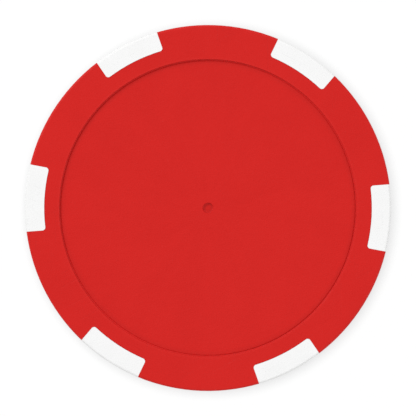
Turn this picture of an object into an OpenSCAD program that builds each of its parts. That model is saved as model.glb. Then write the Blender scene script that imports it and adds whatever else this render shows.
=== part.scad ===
// Weighted poker chip: two welded plastic halves around a steel disc, with inserts through the rim.
// It lies flat on z = 0, its axis is Z, and the first insert is centred on +X.

/* [Chip] */
// Diameter of the chip
chip_d = 39; // [36:0.5:48]
// Thickness of the chip at the rim
chip_t = 3.3; // [2.8:0.1:4.2]
// Rounding of the outer edge, top and bottom
edge_r = 0.25; // [0.1:0.05:0.6]
// Width and depth of the fine groove where the halves meet on the rim
seam_w = 0.06; // [0.02:0.02:0.12]

/* [Label recess] */
// Width of the raised rim around the label recess
rim_w = 3.65; // [2.5:0.05:6]
// Depth of the label recess in each face
recess_depth = 0.3; // [0.15:0.05:0.4]
// Rounding of the upper edge of the recess
lip_r = 0.05; // [0.01:0.01:0.1]
// Width of the glue groove at the foot of the recess's wall
groove_w = 0.2; // [0.06:0.02:0.3]
// Depth of the glue groove below the floor of the recess
groove_depth = 0.07; // [0.03:0.01:0.12]
// Diameter of the gate well in the middle of each face
gate_d = 1.15; // [0.8:0.05:2.4]
// Depth of the gate well below the floor of the recess
gate_depth = 0.3; // [0.2:0.05:0.35]
// Rounding between the wall and the floor of the gate well
gate_floor_r = 0.1; // [0.04:0.02:0.2]

/* [Edge inserts] */
// Number of inserts around the rim
insert_count = 6; // [4:1:8]
// Width of an insert between its corners on the rim
insert_w = 7.15; // [6:0.05:9]
// Angle between the two sides of an insert, in degrees
insert_taper = 15; // [10:1:24]
// Depth of an insert from the rim inwards
insert_depth = 2.05; // [1.5:0.05:2.6]
// Rounding of an insert's inner corners
insert_corner_r = 0.3; // [0.1:0.05:0.6]
// Length of the hidden tongue behind an insert
tongue_len = 1.5; // [1.2:0.05:2]
// Width of the tongue
tongue_w = 4.6; // [2:0.1:4.8]
// Thickness of the tongue
tongue_t = 1; // [0.6:0.1:1.4]

/* [Joining] */
// Diameter of the post that goes through a tongue
post_d = 0.8; // [0.5:0.05:1]
// Length of a post inside the socket of the upper half
post_grip = 0.4; // [0.2:0.05:0.6]
// Chamfer at the tip of a post
post_tip = 0.12; // [0.04:0.02:0.2]
// Width of the weld rib on the lower half
rib_w = 0.4; // [0.2:0.05:0.5]
// Height of the weld rib
rib_h = 0.3; // [0.15:0.05:0.5]
// Gap left on every side of a piece that fits into another
fit_clr = 0.02; // [0.01:0.005:0.05]

/* [Weight] */
// Plastic between the weight and the floor of the recess
skin_t = 0.52; // [0.45:0.01:0.8]
// Plastic between the weight's pocket and the tongues' pockets
weld_wall = 1; // [0.8:0.05:1.6]
// Chamfer on the edges of the weight
weight_edge = 0.15; // [0.05:0.05:0.3]

/* [Hidden] */
$fn = 128;
shell_colour = "#d32a27";
insert_colour = "#f7f7f7";
weight_colour = "silver";
overrun = 0.1;
corner_steps = 6;
groove_steps = 8;

chip_r = chip_d / 2;
part_z = chip_t / 2;
recess_r = chip_r - rim_w;
recess_floor_z = chip_t - recess_depth;
gate_floor_z = recess_floor_z - gate_depth;

insert_in_r = chip_r - insert_depth;
side_half = insert_taper / 2;
// Place on X where the lines of an insert's two sides meet
sides_meet_x = sqrt(pow(chip_r, 2) - pow(insert_w / 2, 2)) - insert_w / 2 / tan(side_half);
tongue_in_x = insert_in_r - tongue_len;
post_x = insert_in_r - tongue_len / 2;
post_hole_d = post_d + 2 * fit_clr;
tongue_slot_t = tongue_t + 2 * fit_clr;

pocket_r = tongue_in_x - fit_clr - weld_wall;
pocket_z = recess_depth + skin_t;
weight_r = pocket_r - fit_clr;
weight_t = chip_t - 2 * pocket_z - fit_clr;
rib_mid_r = pocket_r + weld_wall / 2;

insert_names = [for (i = [1 : insert_count]) str("edge_insert_", i)];

// Half section of the label recess, with the soft glue groove at its wall and the rounded upper edge
module recess_section() {
    top_z = chip_t + overrun;
    shares = [for (k = [0 : groove_steps]) k / groove_steps];
    groove = [for (s = shares) [recess_r - groove_w * (1 - s), recess_floor_z - groove_depth * sin(180 * s)]];
    polygon(concat([[0, top_z], [0, recess_floor_z]], groove, [[recess_r, top_z]]));
    translate([recess_r, chip_t - lip_r]) difference() {
        translate([-overrun, 0]) square([lip_r + overrun, lip_r + overrun]);
        translate([lip_r, 0]) circle(lip_r);
    }
}

// Half section of the gate well, rounded where its floor meets its wall
module gate_section() {
    gate_r = gate_d / 2;
    translate([0, gate_floor_z]) {
        square([gate_r - gate_floor_r, gate_depth + overrun]);
        translate([0, gate_floor_r]) square([gate_r, gate_depth - gate_floor_r + overrun]);
        translate([gate_r - gate_floor_r, gate_floor_r]) circle(gate_floor_r);
    }
}

// Half section of the plain disc with its rounded outer edges
module disc_section() {
    square([chip_r - edge_r, chip_t]);
    translate([0, edge_r]) square([chip_r, chip_t - 2 * edge_r]);
    for (z = [edge_r, chip_t - edge_r]) translate([chip_r - edge_r, z]) circle(edge_r);
}

// Half section of the upper half of the chip, before its pockets and groove
module half_section() {
    difference() {
        disc_section();
        translate([0, -overrun]) square([chip_r + overrun, part_z + overrun]);
        recess_section();
        gate_section();
        translate([0, part_z - overrun]) square([pocket_r, part_z - pocket_z + overrun]);
        translate([chip_r, part_z]) circle(seam_w, $fn = 4);
    }
}

// Half section of the weld rib, or of its groove when grown by the clearance
module rib_section(grow) {
    translate([rib_mid_r - rib_w / 2 - grow, part_z - overrun])
        square([rib_w + 2 * grow, rib_h + grow + overrun]);
}

// Plan of an insert around +X, with rounded inner corners, or of its notch when grown by the clearance
module insert_outline(grow) {
    in_r = insert_in_r - grow;
    corner_r = insert_corner_r + grow;
    meet_x = sides_meet_x - grow / sin(side_half);
    far_x = chip_r + overrun;
    far = [far_x, (far_x - meet_x) * tan(side_half)];
    // The corner's arc runs from the inner end of the insert round to its straight side
    corner_turn = side_half - asin((corner_r + meet_x * sin(side_half)) / (in_r + corner_r));
    corner_mid = (in_r + corner_r) * [cos(corner_turn), sin(corner_turn)];
    step = (90 + corner_turn - side_half) / corner_steps;
    turns = [for (k = [0 : corner_steps]) 180 + corner_turn - k * step];
    arc = [for (turn = turns) corner_mid + corner_r * [cos(turn), sin(turn)]];
    edge = concat([2 * arc[0] - arc[1]], arc, [far]);
    difference() {
        polygon(concat(edge, [for (k = [len(edge) - 1 : -1 : 0]) [edge[k].x, -edge[k].y]]));
        circle(in_r);
    }
}

// Tongue of an insert around +X, or its slot when grown by the clearance
module tongue(grow) {
    translate([tongue_in_x - grow, -tongue_w / 2 - grow, part_z - tongue_t / 2 - grow])
        cube([tongue_len + insert_depth / 2 + grow, tongue_w + 2 * grow, tongue_t + 2 * grow]);
}

// Copies of a shape at every insert
module at_inserts() {
    for (i = [0 : insert_count - 1]) rotate(i * 360 / insert_count) children();
}

// Notches through the rim and slots behind them, for all inserts
module insert_seats() {
    at_inserts() {
        translate([0, 0, -overrun]) linear_extrude(chip_t + 2 * overrun) insert_outline(fit_clr);
        tongue(fit_clr);
    }
}

module upper_shell() {
    socket_z = part_z + tongue_slot_t / 2;
    color(shell_colour)
        difference() {
            rotate_extrude() difference() {
                half_section();
                rib_section(fit_clr);
            }
            insert_seats();
            at_inserts() translate([post_x, 0, socket_z - overrun])
                cylinder(h = post_grip + fit_clr + overrun, d = post_hole_d);
        }
}

module lower_shell() {
    slot_z = part_z - tongue_slot_t / 2;
    post_len = tongue_slot_t + post_grip;
    color(shell_colour) {
        difference() {
            rotate_extrude() {
                translate([0, chip_t]) mirror([0, 1]) half_section();
                rib_section(0);
            }
            insert_seats();
        }
        at_inserts() translate([post_x, 0, slot_z]) {
            translate([0, 0, -overrun]) cylinder(h = post_len - post_tip + overrun, d = post_d);
            translate([0, 0, post_len - post_tip])
                cylinder(h = post_tip, d1 = post_d, d2 = post_d - 2 * post_tip);
        }
    }
}

module weight_disc() {
    color(weight_colour)
        translate([0, 0, pocket_z]) rotate_extrude() polygon([
            [0, 0],
            [weight_r - weight_edge, 0],
            [weight_r, weight_edge],
            [weight_r, weight_t - weight_edge],
            [weight_r - weight_edge, weight_t],
            [0, weight_t]
        ]);
}

module edge_insert(i) {
    color(insert_colour)
        rotate((i - 1) * 360 / insert_count) difference() {
            union() {
                intersection() {
                    linear_extrude(chip_t) insert_outline(0);
                    rotate_extrude() disc_section();
                }
                tongue(0);
            }
            translate([post_x, 0, part_z - tongue_t]) cylinder(h = 2 * tongue_t, d = post_hole_d);
        }
}

upper_shell();
lower_shell();
weight_disc();
for (i = [1 : insert_count]) edge_insert(i);
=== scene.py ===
import bpy
import math
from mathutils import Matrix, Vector


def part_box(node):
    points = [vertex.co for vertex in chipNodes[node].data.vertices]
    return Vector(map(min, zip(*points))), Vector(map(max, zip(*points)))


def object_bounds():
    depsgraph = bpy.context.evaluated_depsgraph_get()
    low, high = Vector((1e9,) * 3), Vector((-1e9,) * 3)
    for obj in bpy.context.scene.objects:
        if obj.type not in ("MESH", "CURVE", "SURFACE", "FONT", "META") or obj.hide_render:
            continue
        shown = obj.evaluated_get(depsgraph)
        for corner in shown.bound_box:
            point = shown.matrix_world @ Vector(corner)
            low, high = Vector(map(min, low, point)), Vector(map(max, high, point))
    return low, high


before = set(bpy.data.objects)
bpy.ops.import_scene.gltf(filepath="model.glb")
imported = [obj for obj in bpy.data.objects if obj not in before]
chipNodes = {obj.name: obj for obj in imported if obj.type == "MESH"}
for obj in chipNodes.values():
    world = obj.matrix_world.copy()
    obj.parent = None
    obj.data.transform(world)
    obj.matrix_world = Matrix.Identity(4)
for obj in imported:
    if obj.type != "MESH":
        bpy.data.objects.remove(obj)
cadLow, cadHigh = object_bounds()
chipRadius = cadHigh.y
chipThick = cadHigh.z
print("frame loaded, chip", round(2000 * chipRadius, 2), "mm across")

# camera straight above, turned a little so the inserts sit as in the picture
viewSettings = {
    "pictureSide": 416,         # pixels
    "chipRadiusPixels": 183.07,
    "roll": 3.16,               # degrees
    "lens": 600.0,              # mm
    "sensor": 36.0,             # mm
    "clipReach": 100,           # times the camera's height
}


def addCamera(settings):
    cameraData = bpy.data.cameras.new("topCamera")
    cameraData.lens = settings["lens"]
    cameraData.sensor_width = settings["sensor"]
    camera = bpy.data.objects.new("topCamera", cameraData)
    bpy.context.scene.collection.objects.link(camera)
    seenWidth = settings["pictureSide"] * chipRadius / settings["chipRadiusPixels"]
    camera.location = (0, 0, chipThick + seenWidth * settings["lens"] / settings["sensor"])
    camera.rotation_euler = (0, 0, math.radians(settings["roll"]))
    cameraData.clip_start = chipThick
    cameraData.clip_end = settings["clipReach"] * camera.location.z
    bpy.context.scene.camera = camera


addCamera(viewSettings)
print("camera placed")


# small helpers for node trees; a value is a number or the output of another node
def addNode(tree, kind, inputs=None, **settings):
    node = tree.nodes.new(kind)
    for key, value in settings.items():
        setattr(node, key, value)
    for key, value in (inputs or {}).items():
        if isinstance(value, bpy.types.NodeSocket):
            tree.links.new(value, node.inputs[key])
        else:
            node.inputs[key].default_value = value
    return node


def calculate(tree, operation, *values):
    return addNode(tree, "ShaderNodeMath", dict(enumerate(values)), operation=operation).outputs[0]


def fade(tree, value, start, end, low=0.0, high=1.0):
    # smooth step from one level to another
    levels = {"Value": value, "From Min": start, "From Max": end, "To Min": low, "To Max": high}
    return addNode(tree, "ShaderNodeMapRange", levels, interpolation_type="SMOOTHSTEP").outputs["Result"]


def noise(tree, place, scale, detail=2.0, distortion=0.0):
    values = {"Vector": place, "Scale": scale, "Detail": detail, "Distortion": distortion}
    return addNode(tree, "ShaderNodeTexNoise", values).outputs[0]


def blendColours(tree, mask, first, second):
    return addNode(tree, "ShaderNodeMix", {0: mask, 6: first, 7: second}, data_type="RGBA").outputs[2]


def splitPlace(tree, place):
    return addNode(tree, "ShaderNodeSeparateXYZ", {0: place}).outputs


def joinPlace(tree, x, y, z):
    return addNode(tree, "ShaderNodeCombineXYZ", {"X": x, "Y": y, "Z": z}).outputs[0]


def sized(tree, place, size):
    # place counted in steps of the given size
    scale = calculate(tree, "DIVIDE", 1.0, size)
    return addNode(tree, "ShaderNodeVectorMath", {0: place, "Scale": scale}, operation="SCALE").outputs[0]


def hypotenuse(tree, across, along):
    alongSquared = calculate(tree, "MULTIPLY", along, along)
    return calculate(tree, "SQRT", calculate(tree, "MULTIPLY_ADD", across, across, alongSquared))


def depthUnderFace(tree, height, thick):
    # distance in from the nearer of the two faces, at heights 0 and thick
    half = calculate(tree, "MULTIPLY", thick, 0.5)
    fromMiddle = calculate(tree, "ABSOLUTE", calculate(tree, "SUBTRACT", height, half))
    return calculate(tree, "SUBTRACT", half, fromMiddle)


def seenDirectly(tree):
    # 1 for what the camera sees, straight or in a reflection or through something clear
    path = addNode(tree, "ShaderNodeLightPath").outputs
    plainOrMirrored = calculate(tree, "MAXIMUM", path["Is Camera Ray"], path["Is Glossy Ray"])
    return calculate(tree, "MAXIMUM", plainOrMirrored, path["Is Transmission Ray"])


floorSettings = {
    "halfWidth": 3.0,    # metres
    "drop": 0.00001,     # below the chip, so the two faces don't fight
    "shade": 0.02,       # part of the lamp's light that the camera sees, and so the depth of the shadow
    "glow": 0.715,       # brings the open floor up to white
    "bounce": 0.056,     # what the floor sends back to the chip
}


def addFloor(settings):
    half, z = settings["halfWidth"], -settings["drop"]
    corners = [(-half, -half, z), (half, -half, z), (half, half, z), (-half, half, z)]
    mesh = bpy.data.meshes.new("floor")
    mesh.from_pydata(corners, [], [(0, 1, 2, 3)])
    floor = bpy.data.objects.new("floor", mesh)
    bpy.context.scene.collection.objects.link(floor)
    material = bpy.data.materials.new("paleFloor")
    material.use_nodes = True
    tree = material.node_tree
    tree.nodes.clear()
    bounceColour = (settings["bounce"],) * 3 + (1,)
    shadeColour = (settings["shade"],) * 3 + (1,)
    bounce = addNode(tree, "ShaderNodeBsdfDiffuse", {"Color": bounceColour}).outputs[0]
    shade = addNode(tree, "ShaderNodeBsdfDiffuse", {"Color": shadeColour}).outputs[0]
    glow = addNode(tree, "ShaderNodeEmission", {"Strength": settings["glow"]}).outputs[0]
    shown = addNode(tree, "ShaderNodeAddShader", {0: shade, 1: glow}).outputs[0]
    mix = addNode(tree, "ShaderNodeMixShader", {"Fac": seenDirectly(tree), 1: bounce, 2: shown})
    addNode(tree, "ShaderNodeOutputMaterial", {"Surface": mix.outputs[0]})
    mesh.materials.append(material)
    return floor


floor = addFloor(floorSettings)
print("floor laid")

# soft studio light; share is the part of a white card's brightness that a lamp gives at the chip.
# The floor's own lamp is strong because the camera sees only the floor's small shade of it.
lightSettings = {
    "world": 0.63,
    "chipLamps": [
        {
            "name": "keySoftbox", "azimuth": 135, "elevation": 41,
            "distance": 1.6, "width": 0.95, "share": 0.27,
        },
        {
            "name": "rightFill", "azimuth": -20, "elevation": 40,
            "distance": 1.6, "width": 0.90, "share": 0.10,
        },
    ],
    "floorLamps": [
        {
            "name": "overheadDisc", "azimuth": 148, "elevation": 83.8,
            "distance": 1.2, "width": 0.78, "share": 13.8,
        },
    ],
}


def lampPower(lamp):
    # patches of the disc on an even grid, each lighting a level card at the origin
    steps = 16
    elevation = math.radians(lamp["elevation"])
    toLamp = Vector((math.cos(elevation), 0, math.sin(elevation)))
    across = Vector((0, 1, 0))
    up = across.cross(toLamp)
    total, patches = 0.0, 0
    for i in range(steps):
        for j in range(steps):
            u = (i + 0.5) / steps - 0.5
            v = (j + 0.5) / steps - 0.5
            if math.hypot(u, v) > 0.5:
                continue
            point = toLamp * lamp["distance"] + (across * u + up * v) * lamp["width"]
            ray = point.normalized()
            total += max(0.0, ray.z) * ray.dot(toLamp) / point.length_squared
            patches += 1
    return lamp["share"] * math.pi ** 2 * patches / total


def addLamp(lamp, receivers):
    lampData = bpy.data.lights.new(lamp["name"], "AREA")
    lampData.shape = "DISK"
    lampData.size = lamp["width"]
    lampData.energy = lampPower(lamp)
    lampObject = bpy.data.objects.new(lamp["name"], lampData)
    bpy.context.scene.collection.objects.link(lampObject)
    azimuth = math.radians(lamp["azimuth"] + viewSettings["roll"])
    elevation = math.radians(lamp["elevation"])
    toLamp = Vector((
        math.cos(elevation) * math.cos(azimuth),
        math.cos(elevation) * math.sin(azimuth),
        math.sin(elevation),
    ))
    lampObject.location = toLamp * lamp["distance"]
    lampObject.rotation_euler = toLamp.to_track_quat("Z", "Y").to_euler()
    lampObject.visible_camera = False
    lampObject.light_linking.receiver_collection = receivers


def receiverGroup(name, objects):
    group = bpy.data.collections.new(name)
    for item in objects:
        group.objects.link(item)
    return group


def addWorld(strength):
    world = bpy.data.worlds.new("studio")
    bpy.context.scene.world = world
    world.use_nodes = True
    tree = world.node_tree
    background = tree.nodes["Background"]
    background.inputs["Color"].default_value = (1, 1, 1, 1)
    levels = {"Value": seenDirectly(tree), "To Min": strength, "To Max": 1.0}
    level = addNode(tree, "ShaderNodeMapRange", levels).outputs["Result"]
    tree.links.new(level, background.inputs["Strength"])


chipReceivers = receiverGroup("chipReceivers", chipNodes.values())
floorReceivers = receiverGroup("floorReceivers", [floor])
for lampSettings in lightSettings["chipLamps"]:
    addLamp(lampSettings, chipReceivers)
for lampSettings in lightSettings["floorLamps"]:
    addLamp(lampSettings, floorReceivers)
addWorld(lightSettings["world"])
bpy.context.scene.view_settings.view_transform = "Standard"
print("lights set")


def startGroup(name, inputs, outputs):
    group = bpy.data.node_groups.new(name, "ShaderNodeTree")
    for socketName in inputs:
        kind = "NodeSocketVector" if socketName == "Place" else "NodeSocketFloat"
        group.interface.new_socket(name=socketName, in_out="INPUT", socket_type=kind)
    for socketName in outputs:
        group.interface.new_socket(name=socketName, in_out="OUTPUT", socket_type="NodeSocketFloat")
    given = addNode(group, "NodeGroupInput").outputs
    return group, given


def endGroup(group, results):
    addNode(group, "NodeGroupOutput", results)
    return group


# fine spark-eroded skin of the mould: small craters over a soft unevenness
grainSettings = {
    "craterScale": 0.8,
    "craterSoftness": 0.6,
    "craterShare": 0.55,
    "pimpleDetail": 3.0,
    "swellScale": 0.16,
    "swellDetail": 1.0,
    "swellShare": 0.9,
    "glossScale": 0.35,
    "glossRange": (0.3, 0.7),
}


def makeMouldGrain(settings):
    group, given = startGroup("mouldGrain", ["Place", "Cell"], ["Height", "Gloss"])
    place = sized(group, given["Place"], given["Cell"])
    craterValues = {
        "Vector": place, "Scale": settings["craterScale"], "Smoothness": settings["craterSoftness"]}
    craterNode = addNode(group, "ShaderNodeTexVoronoi", craterValues, feature="SMOOTH_F1")
    craters = craterNode.outputs["Distance"]
    pimples = noise(group, place, 1.0, settings["pimpleDetail"])
    swell = noise(group, place, settings["swellScale"], settings["swellDetail"])
    height = calculate(group, "MULTIPLY_ADD", craters, settings["craterShare"], pimples)
    height = calculate(group, "MULTIPLY_ADD", swell, settings["swellShare"], height)
    gloss = fade(group, noise(group, place, settings["glossScale"]), *settings["glossRange"])
    return endGroup(group, {"Height": height, "Gloss": gloss})


# faint clouds and streaks that the melt leaves as it runs out from the gate in the middle
mottleSettings = {
    "cloudDetail": 4.0,
    "cloudTwist": 0.6,
    "streakDetail": 3.0,
    "toneRange": (0.7, 1.3),
}


def makeFlowMottle(settings):
    group, given = startGroup("flowMottle", ["Place", "Cloud Size", "Streaks"], ["Tone"])
    cloudPlace = sized(group, given["Place"], given["Cloud Size"])
    clouds = noise(group, cloudPlace, 1.0, settings["cloudDetail"], settings["cloudTwist"])
    parts = splitPlace(group, given["Place"])
    turn = calculate(group, "ARCTAN2", parts["Y"], parts["X"])
    reach = hypotenuse(group, parts["X"], parts["Y"])
    around = joinPlace(
        group,
        calculate(group, "MULTIPLY", calculate(group, "COSINE", turn), given["Streaks"]),
        calculate(group, "MULTIPLY", calculate(group, "SINE", turn), given["Streaks"]),
        calculate(group, "DIVIDE", reach, given["Cloud Size"]),
    )
    streaks = noise(group, around, 1.0, settings["streakDetail"])
    tone = fade(group, calculate(group, "ADD", clouds, streaks), *settings["toneRange"])
    return endGroup(group, {"Tone": tone})


# rubbed edges of a disc, and the proud faces that slide on a table or on another chip
wearSettings = {
    "patchScale": 0.35,
    "patchDetail": 4.0,
    "edgeRange": (0.6, 2.4),      # bands from the edge, before the patches make it ragged
    "contactRange": (0.05, 0.3),  # bands under the face
}


def makeHandlingWear(settings):
    group, given = startGroup(
        "handlingWear", ["Place", "Radius", "Lip Radius", "Base", "Thick", "Band"], ["Edge", "Contact"])
    parts = splitPlace(group, given["Place"])
    reach = hypotenuse(group, parts["X"], parts["Y"])
    height = calculate(group, "SUBTRACT", parts["Z"], given["Base"])
    underFace = depthUnderFace(group, height, given["Thick"])
    fromRim = calculate(group, "SUBTRACT", given["Radius"], reach)
    fromLip = calculate(group, "SUBTRACT", given["Lip Radius"], reach)
    nearest = calculate(
        group, "MINIMUM", hypotenuse(group, fromRim, underFace), hypotenuse(group, fromLip, underFace))
    patchPlace = sized(group, given["Place"], given["Band"])
    patches = noise(group, patchPlace, settings["patchScale"], settings["patchDetail"])
    ragged = calculate(group, "DIVIDE", nearest, calculate(group, "MULTIPLY", given["Band"], patches))
    edge = fade(group, ragged, *settings["edgeRange"], 1.0, 0.0)
    underBands = calculate(group, "DIVIDE", underFace, given["Band"])
    contact = fade(group, underBands, *settings["contactRange"], 1.0, 0.0)
    return endGroup(group, {"Edge": edge, "Contact": contact})


# painted shade on the floor of a round hollow, darkest just off the foot of its wall and broken into
# patches, and a paler painted tint that greys that shade in a groove cut along the foot
hollowShadeSettings = {
    "rise": (0.0, 0.3),           # bands from the wall
    "fall": (0.3, 1.0),
    "deep": (0.5, 0.95),          # shares of the hollow's depth
    "patchScale": 0.5,
    "patchDetail": 3.0,
    "patchRange": (0.2, 0.8),
    "patchLeast": 0.6,
    "grooveReach": (0.25, 0.35),  # bands from the wall
    "wallSlack": -0.1,
    "grooveDepth": (1.0, 1.1),    # shares of the hollow's depth
}


def makePaintedHollowShade(settings):
    group, given = startGroup(
        "paintedHollowShade", ["Place", "Wall Radius", "Floor Depth", "Thick", "Band"], ["Painted Shade", "Painted Tint"])
    parts = splitPlace(group, given["Place"])
    reach = hypotenuse(group, parts["X"], parts["Y"])
    inward = calculate(group, "SUBTRACT", given["Wall Radius"], reach)
    fromWall = calculate(group, "DIVIDE", inward, given["Band"])
    underFace = depthUnderFace(group, parts["Z"], given["Thick"])
    depth = calculate(group, "DIVIDE", underFace, given["Floor Depth"])

    rise = fade(group, fromWall, *settings["rise"])
    fall = fade(group, fromWall, *settings["fall"], 1.0, 0.0)
    deep = fade(group, depth, *settings["deep"])
    patchPlace = sized(group, given["Place"], given["Band"])
    patches = noise(group, patchPlace, settings["patchScale"], settings["patchDetail"])
    patches = fade(group, patches, *settings["patchRange"], settings["patchLeast"], 1.0)
    spread = calculate(group, "MULTIPLY", rise, fall)
    # painted shade: a darker colour on the hollow's floor near the wall's foot, where shade falls
    paintedShadeMask = calculate(group, "MULTIPLY", calculate(group, "MULTIPLY", spread, deep), patches)

    # painted tint: a paler red in the groove along the wall's foot, standing in for the reflection its
    # shade loses
    nearWall = fade(group, fromWall, *settings["grooveReach"], 1.0, 0.0)
    inside = calculate(group, "GREATER_THAN", fromWall, settings["wallSlack"])
    inGroove = fade(group, depth, *settings["grooveDepth"])
    paintedTintMask = calculate(group, "MULTIPLY", calculate(group, "MULTIPLY", nearWall, inside), inGroove)
    return endGroup(group, {"Painted Shade": paintedShadeMask, "Painted Tint": paintedTintMask})


# sparse hairline scratches in a few directions, gathered in patches
scuffSettings = {
    "directions": 3,
    "firstTurn": 0.4,      # radians
    "turnStep": 1.1,       # radians
    "layerScale": 1000.0,  # per metre of height
    "layerStep": 7.0,
    "lineScale": 0.4,
    "lineDetail": 1.0,
    "lineBend": 0.2,
    "lineRange": (0.66, 0.74),
    "patchScale": 0.8,
    "patchRange": (0.5, 0.65),
}


def makeFineScuffs(settings):
    group, given = startGroup("fineScuffs", ["Place", "Length", "Width"], ["Scuff"])
    layers = []
    for k in range(settings["directions"]):
        turnValues = {"Vector": given["Place"], "Angle": settings["firstTurn"] + settings["turnStep"] * k}
        turned = addNode(group, "ShaderNodeVectorRotate", turnValues, rotation_type="Z_AXIS").outputs[0]
        parts = splitPlace(group, turned)
        drawn = joinPlace(
            group,
            calculate(group, "DIVIDE", parts["X"], given["Length"]),
            calculate(group, "DIVIDE", parts["Y"], given["Width"]),
            calculate(group, "MULTIPLY_ADD", parts["Z"], settings["layerScale"], settings["layerStep"] * k),
        )
        lines = noise(group, drawn, settings["lineScale"], settings["lineDetail"], settings["lineBend"])
        patches = noise(group, sized(group, turned, given["Length"]), settings["patchScale"])
        layers.append(calculate(
            group, "MULTIPLY",
            fade(group, lines, *settings["lineRange"]), fade(group, patches, *settings["patchRange"])))
    scuff = layers[0]
    for layer in layers[1:]:
        scuff = calculate(group, "MAXIMUM", scuff, layer)
    return endGroup(group, {"Scuff": scuff})


mouldGrain = makeMouldGrain(grainSettings)
flowMottle = makeFlowMottle(mottleSettings)
handlingWear = makeHandlingWear(wearSettings)
paintedHollowShade = makePaintedHollowShade(hollowShadeSettings)
fineScuffs = makeFineScuffs(scuffSettings)
print("surface effects made")


def placeGroup(tree, group, inputs):
    return addNode(tree, "ShaderNodeGroup", inputs, node_tree=group).outputs


def startMaterial(name):
    material = bpy.data.materials.new(name)
    material.use_nodes = True
    tree = material.node_tree
    place = addNode(tree, "ShaderNodeTexCoord").outputs["Object"]
    return material, tree, tree.nodes["Principled BSDF"], place


# round hollows in the faces that get painted shade; depth is where the paler painted tint starts, share is
# how strongly the painted shade tints
labelRecess = {"radius": 0.01585, "depth": 0.0003, "band": 0.0008, "share": 0.20}
gateWell = {"radius": 0.000575, "depth": 0.00045, "band": 0.0007, "share": 0.15}

# colours are linear; lengths are in metres
plasticSettings = {
    "red": {
        "dark": (0.633, 0.0120, 0.0092, 1),
        "light": (0.653, 0.0130, 0.0100, 1),
        "rubbed": (0.660, 0.0164, 0.0132, 1),
        "scratched": (0.68, 0.026, 0.022, 1),
        # painted colours: a darker red for shade in the hollows, and a paler red that tints the shade in
        # the groove
        "paintedShade": (0.40, 0.0140, 0.0120, 1),
        "paintedGrooveTint": (0.665, 0.0220, 0.0195, 1),
        "hollows": [labelRecess, gateWell],
        "rubShare": 0.7,
        "scratchShare": 0.1,
        "scratchDepth": 0.4,
        "roughness": (0.48, 0.60),
        "polish": 0.14,
        "specular": 0.16,
        "grainCell": 0.00010,
        "grainDepth": 0.000026,
        "cloudSize": 0.005,
        "streaks": 5.0,
        "wearBand": 0.00022,
        "scuffLength": 0.004,
        "scuffWidth": 0.00006,
    },
    "white": {
        "dark": (0.928, 0.928, 0.926, 1),
        "light": (0.944, 0.944, 0.943, 1),
        "rubbed": (0.900, 0.897, 0.890, 1),
        "scratched": (0.86, 0.855, 0.85, 1),
        "hollows": [],
        "rubShare": 0.6,
        "scratchShare": 0.1,
        "scratchDepth": 0.4,
        "roughness": (0.46, 0.58),
        "polish": 0.12,
        "specular": 0.16,
        "grainCell": 0.00009,
        "grainDepth": 0.000020,
        "cloudSize": 0.003,
        "streaks": 9.0,
        "wearBand": 0.00022,
        "scuffLength": 0.003,
        "scuffWidth": 0.00006,
    },
}


def mouldedPlastic(name, settings):
    material, tree, shader, place = startMaterial(name)
    grain = placeGroup(tree, mouldGrain, {"Place": place, "Cell": settings["grainCell"]})
    flow = placeGroup(tree, flowMottle, {
        "Place": place, "Cloud Size": settings["cloudSize"], "Streaks": settings["streaks"]})
    wear = placeGroup(tree, handlingWear, {
        "Place": place, "Radius": chipRadius, "Lip Radius": labelRecess["radius"],
        "Base": 0.0, "Thick": chipThick, "Band": settings["wearBand"]})
    scuffs = placeGroup(tree, fineScuffs, {
        "Place": place, "Length": settings["scuffLength"], "Width": settings["scuffWidth"]})
    rubbed = calculate(tree, "MULTIPLY", wear["Edge"], settings["rubShare"])
    scratched = calculate(tree, "MULTIPLY", scuffs["Scuff"], wear["Contact"])

    colour = blendColours(tree, flow["Tone"], settings["dark"], settings["light"])
    # painted shade in each hollow, then a paler painted tint in its groove
    for hollow in settings["hollows"]:
        hollowPaint = placeGroup(tree, paintedHollowShade, {
            "Place": place, "Wall Radius": hollow["radius"], "Floor Depth": hollow["depth"],
            "Thick": chipThick, "Band": hollow["band"]})
        paintedShadeMask = calculate(tree, "MULTIPLY", hollowPaint["Painted Shade"], hollow["share"])
        colour = blendColours(tree, paintedShadeMask, colour, settings["paintedShade"])
        colour = blendColours(tree, hollowPaint["Painted Tint"], colour, settings["paintedGrooveTint"])
    colour = blendColours(tree, rubbed, colour, settings["rubbed"])
    scratchTint = calculate(tree, "MULTIPLY", scratched, settings["scratchShare"])
    colour = blendColours(tree, scratchTint, colour, settings["scratched"])
    tree.links.new(colour, shader.inputs["Base Color"])

    roughness = fade(tree, grain["Gloss"], 0.0, 1.0, *settings["roughness"])
    polish = calculate(tree, "MULTIPLY", wear["Edge"], settings["polish"])
    tree.links.new(calculate(tree, "SUBTRACT", roughness, polish), shader.inputs["Roughness"])

    height = calculate(tree, "MULTIPLY_ADD", scratched, -settings["scratchDepth"], grain["Height"])
    bump = addNode(tree, "ShaderNodeBump", {"Height": height, "Distance": settings["grainDepth"]})
    tree.links.new(bump.outputs[0], shader.inputs["Normal"])
    shader.inputs["Specular IOR Level"].default_value = settings["specular"]
    return material


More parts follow.
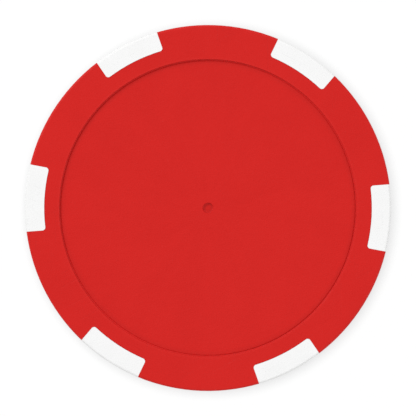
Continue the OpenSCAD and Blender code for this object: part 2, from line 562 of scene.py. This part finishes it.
steelSettings = {
    "dark": (0.47, 0.475, 0.48, 1),
    "light": (0.60, 0.605, 0.61, 1),
    "bright": (0.72, 0.72, 0.72, 1),
    "roughness": (0.26, 0.44),
    "rollLength": 0.008,
    "rollWidth": 0.00012,
    "rollDepth": 0.000004,
    "lineDetail": 4.0,
    "lineBend": 0.1,
    "lineRange": (0.3, 0.7),
    "wearBand": 0.0003,
    "scuffLength": 0.006,
    "scuffWidth": 0.00008,
    "scuffShare": 0.35,
}


# disc stamped from cold-rolled strip: lines along the rolling direction, bright sheared edges
def rolledSteel(name, settings):
    material, tree, shader, place = startMaterial(name)
    low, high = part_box("weight_disc")
    parts = splitPlace(tree, place)
    drawn = joinPlace(
        tree,
        calculate(tree, "DIVIDE", parts["X"], settings["rollLength"]),
        calculate(tree, "DIVIDE", parts["Y"], settings["rollWidth"]),
        calculate(tree, "DIVIDE", parts["Z"], settings["rollWidth"]),
    )
    lines = noise(tree, drawn, 1.0, settings["lineDetail"], settings["lineBend"])
    wear = placeGroup(tree, handlingWear, {
        "Place": place, "Radius": high.y, "Lip Radius": high.y,
        "Base": low.z, "Thick": high.z - low.z, "Band": settings["wearBand"]})
    scuffs = placeGroup(tree, fineScuffs, {
        "Place": place, "Length": settings["scuffLength"], "Width": settings["scuffWidth"]})
    rolled = fade(tree, lines, *settings["lineRange"])
    colour = blendColours(tree, rolled, settings["dark"], settings["light"])
    colour = blendColours(tree, wear["Edge"], colour, settings["bright"])
    tree.links.new(colour, shader.inputs["Base Color"])
    roughness = fade(tree, rolled, 0.0, 1.0, *settings["roughness"])
    scratched = calculate(tree, "MULTIPLY", scuffs["Scuff"], settings["scuffShare"])
    tree.links.new(calculate(tree, "ADD", roughness, scratched), shader.inputs["Roughness"])
    height = calculate(tree, "SUBTRACT", lines, scratched)
    bump = addNode(tree, "ShaderNodeBump", {"Height": height, "Distance": settings["rollDepth"]})
    tree.links.new(bump.outputs[0], shader.inputs["Normal"])
    shader.inputs["Metallic"].default_value = 1.0
    return material


finishes = {
    "shell": mouldedPlastic("redPlastic", plasticSettings["red"]),
    "insert": mouldedPlastic("whitePlastic", plasticSettings["white"]),
    "disc": rolledSteel("rolledSteel", steelSettings),
}
for name, node in chipNodes.items():
    finish = next(material for word, material in finishes.items() if word in name)
    node.data.materials.clear()
    node.data.materials.append(finish)
print("materials set on", len(chipNodes), "pieces")
